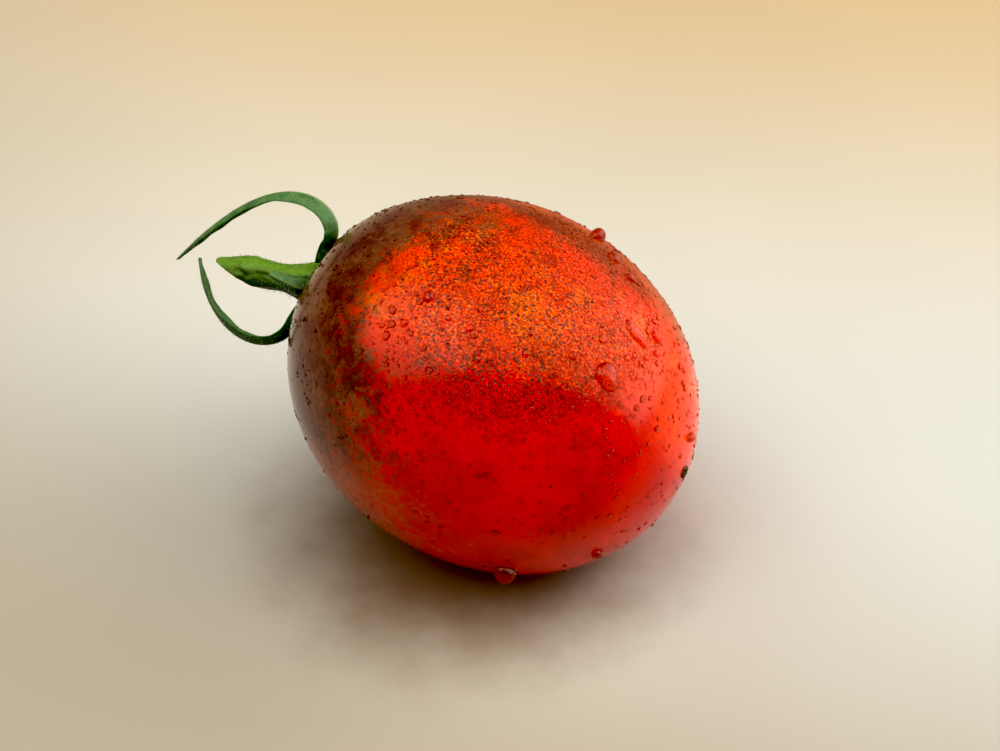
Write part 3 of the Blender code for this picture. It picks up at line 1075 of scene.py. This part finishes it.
def standing_water_group():
    """A drop's painted shade, from its body to its darker steep rim, and the faint ripple of its surface.
    """
    sockets = (("Place", "Vector"), ("Near Rim", "Float"), ("Body", "Color"), ("Rim", "Color"))
    group, given, made = new_group("standing_water", sockets, (("Tint", "Color"), ("Ripple", "Float")))
    rim = ramp(group, given["Near Rim"], 0.15, 0.85)
    tint = blend_colour(group, rim, given["Body"], given["Rim"])
    plug(group, made, {"Tint": tint, "Ripple": speckle(group, given["Place"], 1.6, 2.0, 0.5)})
    return group


standing_water = standing_water_group()


def water_material(name, body, rim, shade, gloss):
    """Water with painted shade, most at its rim. Shadow and diffuse rays pass it straight, tinted by shade.
    """
    material, tree, shader = new_material(name)
    sockets = {"Place": upright_place(tree), "Near Rim": noted(tree, "rim"), "Body": body, "Rim": rim}
    water = put(tree, "Group", sockets, node_tree=standing_water).outputs
    ripple = {"Height": water["Ripple"], "Strength": 0.05, "Distance": 0.01 * MM}
    wet = {"Base Color": water["Tint"], "Normal": put(tree, "Bump", ripple).outputs[0]}
    wet |= {"Specular Tint": WATER_GLEAM, "Roughness": 0.02, "IOR": WATER_IOR}
    wet |= {"Coat Weight": gloss, "Coat Roughness": 0.02, "Transmission Weight": 1.0}
    plug(tree, shader, wet)
    path = put(tree, "LightPath").outputs
    passing = sums(tree, "MAXIMUM", path["Is Shadow Ray"], path["Is Diffuse Ray"])
    clear = put(tree, "BsdfTransparent", {"Color": shade}).outputs[0]
    mixed = put(tree, "MixShader", {0: passing, 1: shader.outputs[0], 2: clear}).outputs[0]
    plug(tree, tree.nodes["Material Output"], {"Surface": mixed})
    return material


drop_water = water_material("drop_water", DROP_BODY_SHADE, DROP_RIM_SHADE, WATER_SHADE, 0.25)
bead_water = water_material("bead_water", WATER_CLEAR, BEAD_RIM_SHADE, WATER_SHADE, 0.0)
mist_water = water_material("mist_water", WATER_CLEAR, MIST_RIM_SHADE, MIST_SHADE, 0.0)
chance = random.Random(5)
bead_places = scatter(chance, BEADS, BEAD_SMALLEST, BEAD_LARGEST, beads_wanted)
mist_places = scatter(chance, MIST, MIST_SMALLEST, MIST_LARGEST, mist_wanted)
beads = small_water("water_beads", bead_places, 0.50, BEAD_SIDES, BEAD_RINGS, chance)
mist_drops = small_water("fine_mist", mist_places, 0.45, MIST_SIDES, MIST_RINGS, chance)
for name, mesh, wet in (
    ("large_drops", drop_mesh(), drop_water),
    ("water_beads", beads, bead_water),
    ("fine_mist", mist_drops, mist_water),
):
    piece = add_piece(name, mesh, wet)
    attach(piece, "root")


# ---- The room ---------------------------------------------------------------------------------
# A pale table under a soft, uneven sky. The table is tinted tan behind the fruit, painted darker
# grey as shade to its left and front, and painted dark under it as a shadow. The sky is bright to the
# right, high on the left and
# overhead, and dim on the viewer's side, so that the front of the fruit shows its own deep red.

FLOOR_SIZE = 3.0
FLOOR_PALE = (0.66, 0.67, 0.61, 1)
FLOOR_TAN = (0.58, 0.43, 0.235, 1)
FLOOR_SHADE_GREY = (0.41, 0.36, 0.27, 1)
FLOOR_PAINTED_SHADOW = (0.13, 0.058, 0.016, 1)
PAINTED_SHADOW_MIDDLE = Vector((-2.0, -3.0, 0.0)) * MM
SKY_COLOUR = (1.0, 0.965, 0.91, 1)
SKY_BASE = 0.12
SKY_RIGHT = 3.3
SKY_LEFT = 2.3
SKY_OVERHEAD = 1.6
SKY_AT_VIEWER = 0.02
BLACK_LEVEL = 0.022
VIEW_AZIMUTH = math.radians(29.2)
VIEW_ELEVATION = 40
VIEW_DISTANCE = 249.5 * MM
VIEW_WIDTH = math.radians(20)
AIM = Vector((-0.86, 0.53, 16.32)) * MM


def side_of_room(azimuth, elevation=0.0):
    """The way to that side of the room, in degrees round from where the viewer stands and up."""
    turn = VIEW_AZIMUTH + math.radians(azimuth)
    rise = math.radians(elevation)
    flat = math.cos(rise)
    return Vector((math.sin(turn) * flat, -math.cos(turn) * flat, math.sin(rise)))


def floor_material():
    material, tree, shader = new_material("pale_table")
    place = put(tree, "TexCoord").outputs["Object"]
    cloud = speckle(tree, place, 9.0, 3.0, 0.5)

    def across(azimuth):
        """Distance over the table towards that side of the room, in metres."""
        sockets = {0: place, 1: side_of_room(azimuth)}
        return put(tree, "VectorMath", sockets, operation="DOT_PRODUCT").outputs[1]

    tanned = ramp(tree, across(175), 0.01, 0.10)
    # Painted shade: the table is painted darker grey towards the fruit's left and front.
    shaded_grey = ramp(tree, across(-20), -0.020, 0.035)
    colour = blend_colour(tree, tanned, FLOOR_PALE, FLOOR_TAN)
    colour = blend_colour(tree, shaded_grey, colour, FLOOR_SHADE_GREY)
    colour = blend_colour(tree, ramp(tree, across(-90), 0.0, 0.10, 0.0, 0.9), colour, FLOOR_SHADE_GREY)
    # A dark, warm painted shadow close round where the fruit lies deepens and warms its soft shadow.
    away = put(tree, "VectorMath", {0: place, 1: PAINTED_SHADOW_MIDDLE}, operation="DISTANCE").outputs[1]
    ragged = sums(tree, "MULTIPLY_ADD", speckle(tree, place, 120.0, 4.0, 0.6), 0.008, away)
    painted_darkening = ramp(tree, ragged, 0.011, 0.028, 0.90, 0.0)
    colour = blend_colour(tree, painted_darkening, colour, FLOOR_PAINTED_SHADOW)
    shade = ramp(tree, cloud, 0.3, 0.7, 0.94, 1.04)
    colour = blend_colour(tree, 1.0, colour, shade, "MULTIPLY")
    plug(tree, shader, {"Base Color": colour, "Roughness": 0.75, "Specular IOR Level": 0.2})
    return material


bpy.ops.mesh.primitive_plane_add(size=FLOOR_SIZE, location=(0, 0, 0))
floor = bpy.context.object
floor.name = "table"
floor.data.materials.append(floor_material())
floor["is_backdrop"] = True


def make_sky():
    """Bright from the right and from high on the left, soft overhead, and dim behind the viewer."""
    world = bpy.data.worlds.new("soft_sky")
    world.use_nodes = True
    tree = world.node_tree
    heading = put(tree, "TexCoord").outputs["Generated"]

    def lobe(azimuth, elevation, wide, narrow, low, high):
        """low away from that side of the sky and high towards it; 0 is the viewer's side."""
        sockets = {0: heading, 1: side_of_room(azimuth, elevation)}
        nearness = put(tree, "VectorMath", sockets, operation="DOT_PRODUCT").outputs[1]
        return ramp(tree, nearness, wide, narrow, low, high)

    right = lobe(92, 18, 0.40, 0.98, SKY_BASE, SKY_RIGHT)
    left = lobe(-72, 50, 0.80, 0.96, 0.0, SKY_LEFT)
    overhead = lobe(-5, 72, 0.80, 0.95, 0.0, SKY_OVERHEAD)
    strength = sums(tree, "ADD", sums(tree, "ADD", right, left), overhead)
    strength = product(tree, strength, lobe(6, -15, 0.36, 0.50, 1.0, SKY_AT_VIEWER))
    plug(tree, tree.nodes["Background"], {"Strength": strength, "Color": SKY_COLOUR})
    bpy.context.scene.world = world


make_sky()


def make_camera():
    data = bpy.data.cameras.new("viewer")
    data.sensor_fit = "HORIZONTAL"
    data.angle = VIEW_WIDTH
    data.clip_start = 5 * MM
    viewer = bpy.data.objects.new("viewer", data)
    bpy.context.scene.collection.objects.link(viewer)
    back = side_of_room(0, VIEW_ELEVATION)
    viewer.location = AIM + back * VIEW_DISTANCE
    viewer.rotation_euler = back.to_track_quat("Z", "Y").to_euler()
    bpy.context.scene.camera = viewer


make_camera()

# The picture is developed plainly, with its darkest tones cut to black.
developed = bpy.context.scene.view_settings
developed.view_transform = "Standard"
developed.use_curve_mapping = True
developed.curve_mapping.black_level = (BLACK_LEVEL,) * 3

low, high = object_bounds()
boxes = {"cad": [cad_low, cad_high], "visual": [low, high]}
plain = {name: [list(map(float, corner)) for corner in box] for name, box in boxes.items()}
